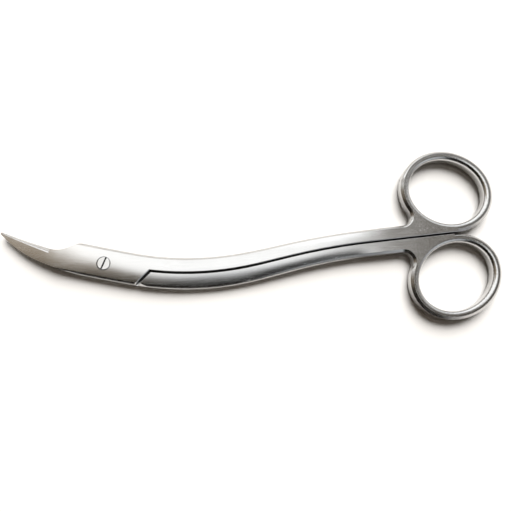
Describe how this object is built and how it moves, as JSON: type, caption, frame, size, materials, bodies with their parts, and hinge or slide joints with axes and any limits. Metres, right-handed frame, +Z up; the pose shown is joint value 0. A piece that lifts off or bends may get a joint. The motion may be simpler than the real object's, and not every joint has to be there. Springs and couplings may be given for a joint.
{
  "type": "suture scissors",
  "caption": "Slender S-shaped suture scissors with short curved pointed blades, a slotted screw lap joint and finger rings.",
  "frame": {"origin": "centre of the closed scissors' bounding box, at the underside they lie on", "axes": "+X from the blade tips towards the finger rings, +Y across the instrument towards the upper ring, +Z up through the joint towards the screw head"},
  "size_m": [0.1614, 0.0554, 0.0044],
  "materials": {
    "forged_steel": "satin",
    "screw_steel": "satin"
  },
  "bodies": {
    "upper_half": {"upper_half": "forged_steel"},
    "lower_half": {"lower_half": "forged_steel", "pivot_screw": "screw_steel"}
  },
  "joints": [
    {"name": "pivot", "type": "hinge", "parent": "upper_half", "child": "lower_half", "pos_m": [-0.04642, -0.00982, 0.0022], "axis": [0, 0, -1], "range_deg": [0, 60]}
  ]
}
